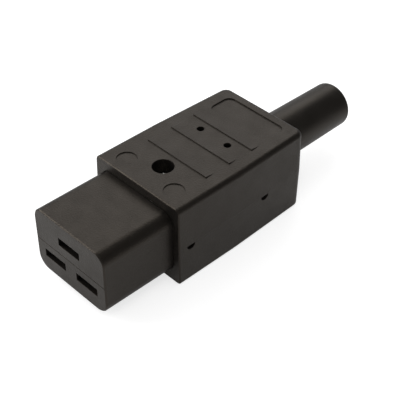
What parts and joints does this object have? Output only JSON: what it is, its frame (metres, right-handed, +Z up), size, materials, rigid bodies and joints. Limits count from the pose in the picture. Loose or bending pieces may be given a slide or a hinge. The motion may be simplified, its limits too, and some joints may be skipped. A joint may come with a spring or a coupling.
{
  "type": "cord-end appliance connector",
  "caption": "Black rewireable cord-end power connector: a rectangular nose with level slots, a boxy body in two screwed halves and a round rubber bend sleeve.",
  "frame": {"origin": "centre of the nose's mating face", "axes": "+X across the width, +Y from the mating face back to the cord end, +Z up, away from the flat underside"},
  "size_m": [0.0334, 0.1037, 0.0265],
  "materials": {
    "shell_plastic": "fine moulded texture, satin black",
    "nose_plastic": "fine moulded texture, satin black",
    "boot_rubber": "smooth satin black",
    "contact_brass": "rolled, semi-bright",
    "screw_steel": "zinc plated"
  },
  "bodies": {
    "root": {"upper_shell": "shell_plastic", "lower_shell": "shell_plastic", "contact_block": "nose_plastic", "contact_retainer": "nose_plastic", "cord_clamp": "shell_plastic", "cord_boot": "boot_rubber", "line_contact": "contact_brass", "neutral_contact": "contact_brass", "earth_contact": "contact_brass", "line_terminal": "contact_brass", "neutral_terminal": "contact_brass", "earth_terminal": "contact_brass", "screw_insert": "contact_brass", "line_terminal_screw": "screw_steel", "neutral_terminal_screw": "screw_steel", "earth_terminal_screw": "screw_steel", "shell_screw": "screw_steel", "clamp_screw_left": "screw_steel", "clamp_screw_right": "screw_steel"}
  },
  "joints": []
}
